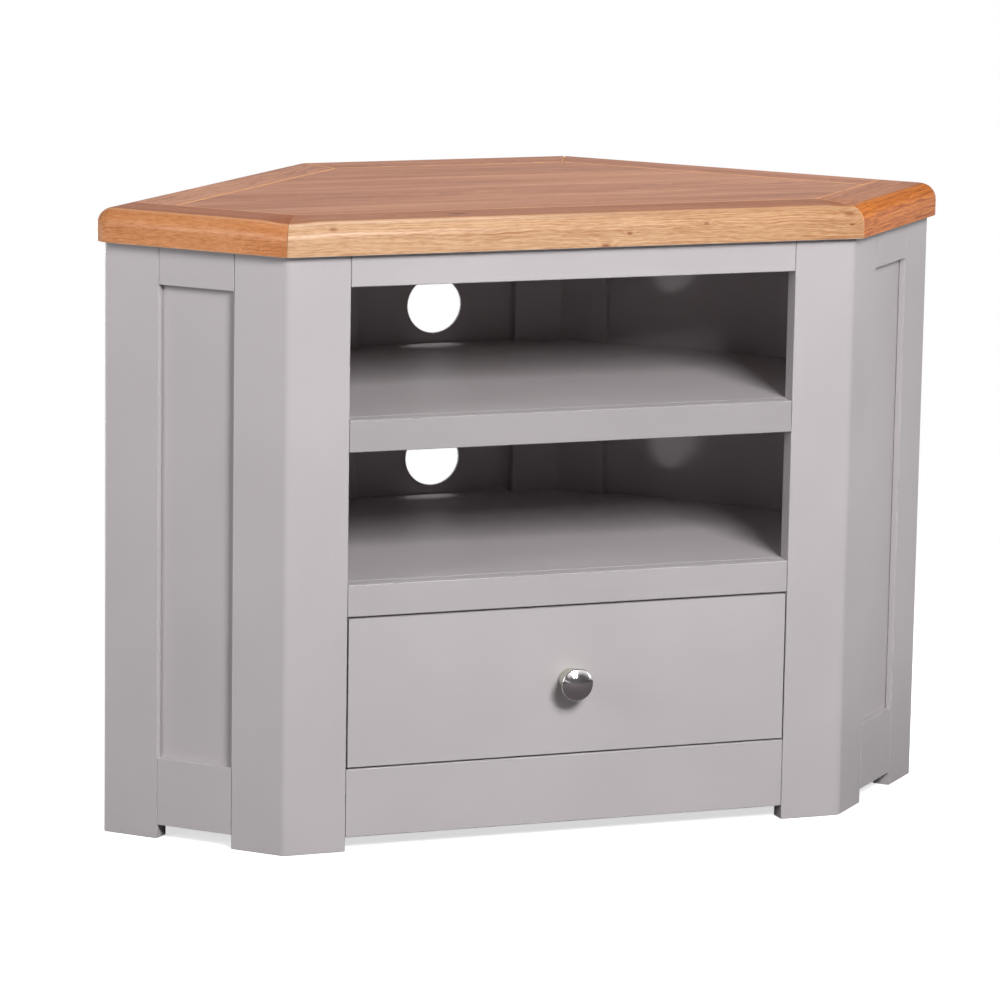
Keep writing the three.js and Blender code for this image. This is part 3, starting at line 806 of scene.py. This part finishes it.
# Knob: its outline from its foot to its rim, as shares of its radius and reach. The dome on
# its face keeps the fine rings of the turning tool.
knob_sides = 96
knob_body_shares = [
    (0.72, 0.0), (0.735, 0.02), (0.745, 0.06), (0.76, 0.15), (0.80, 0.32), (0.86, 0.52),
    (0.93, 0.68), (0.97, 0.745), (0.992, 0.775), (1.0, 0.80), (0.994, 0.825), (0.975, 0.84),
]
knob_face_start_share = 0.79
dome_radius = 30 * millimetre
dome_start_share = 0.96
ring_pitch = 0.8 * millimetre
ring_height = 0.018 * millimetre
ring_step = 0.2 * millimetre


def knob_stations(radius, reach):
    """Distances from the axis and from the foot, along the knob's outline."""
    stations = [(radius * wide, reach * far) for wide, far in knob_body_shares]
    turns = int(radius * dome_start_share / ring_step)
    for i in range(turns):
        wide = ring_step * (turns - i)
        drop = dome_radius - math.sqrt(dome_radius ** 2 - wide ** 2)
        rings = ring_height * math.sin(wide / ring_pitch * 2 * math.pi)
        stations.append((wide, reach - drop + rings - ring_height))
    return stations


def make_knob():
    low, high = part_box("drawer_knob")
    centre = (low + high) / 2
    stations = knob_stations((high.x - low.x) / 2, high.y - low.y)
    bpy.ops.object.select_all(action="DESELECT")
    bpy.ops.mesh.primitive_circle_add(
        vertices=knob_sides, radius=stations[0][0], fill_type="NGON",
        location=(centre.x, high.y, centre.z), rotation=(math.pi / 2, 0, 0))
    piece = bpy.context.object
    piece.name = "turned_knob"
    bpy.ops.object.transform_apply(location=True, rotation=True, scale=True)
    bpy.ops.object.mode_set(mode="EDIT")
    bpy.ops.mesh.select_all(action="SELECT")
    for (wide, far), (next_wide, next_far) in zip(stations, stations[1:]):
        grow = next_wide / wide
        bpy.ops.mesh.extrude_region_move(TRANSFORM_OT_translate={"value": (0, far - next_far, 0)})
        middle = (centre.x, high.y - next_far, centre.z)
        bpy.ops.transform.resize(value=(grow, 1, grow), center_override=middle)
    bpy.ops.mesh.select_all(action="SELECT")
    bpy.ops.mesh.normals_make_consistent(inside=False)
    bpy.ops.object.mode_set(mode="OBJECT")
    bpy.ops.object.shade_smooth()
    piece.data.materials.append(make_metal("turned_metal", centre, **knob_face_metal))
    piece.data.materials.append(make_metal("turned_metal_body_painted_reflection", centre, **knob_body_metal_painted_reflection))
    # The body's faces take the darker metal, a painted reflection
    body_end = high.y - (high.y - low.y) * knob_face_start_share
    for face in piece.data.polygons:
        face.material_index = 1 if face.center.y > body_end else 0
    take_on(piece, drawer, "knob_metal", "drawer_knob")


def finish_screws():
    """The screws keep their own shape, and get a plated finish."""
    for node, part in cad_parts.items():
        if "screw" in node:
            low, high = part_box(node)
            part.data.materials.clear()
            part.data.materials.append(
                make_metal(node + "_plating", (low + high) / 2, **screw_metal))


make_camera()
make_lamps()
make_world()
make_floor()
make_painted_boards()
make_top()
make_bare_boards()
make_knob()
finish_screws()

bpy.context.scene.view_settings.view_transform = "Standard"
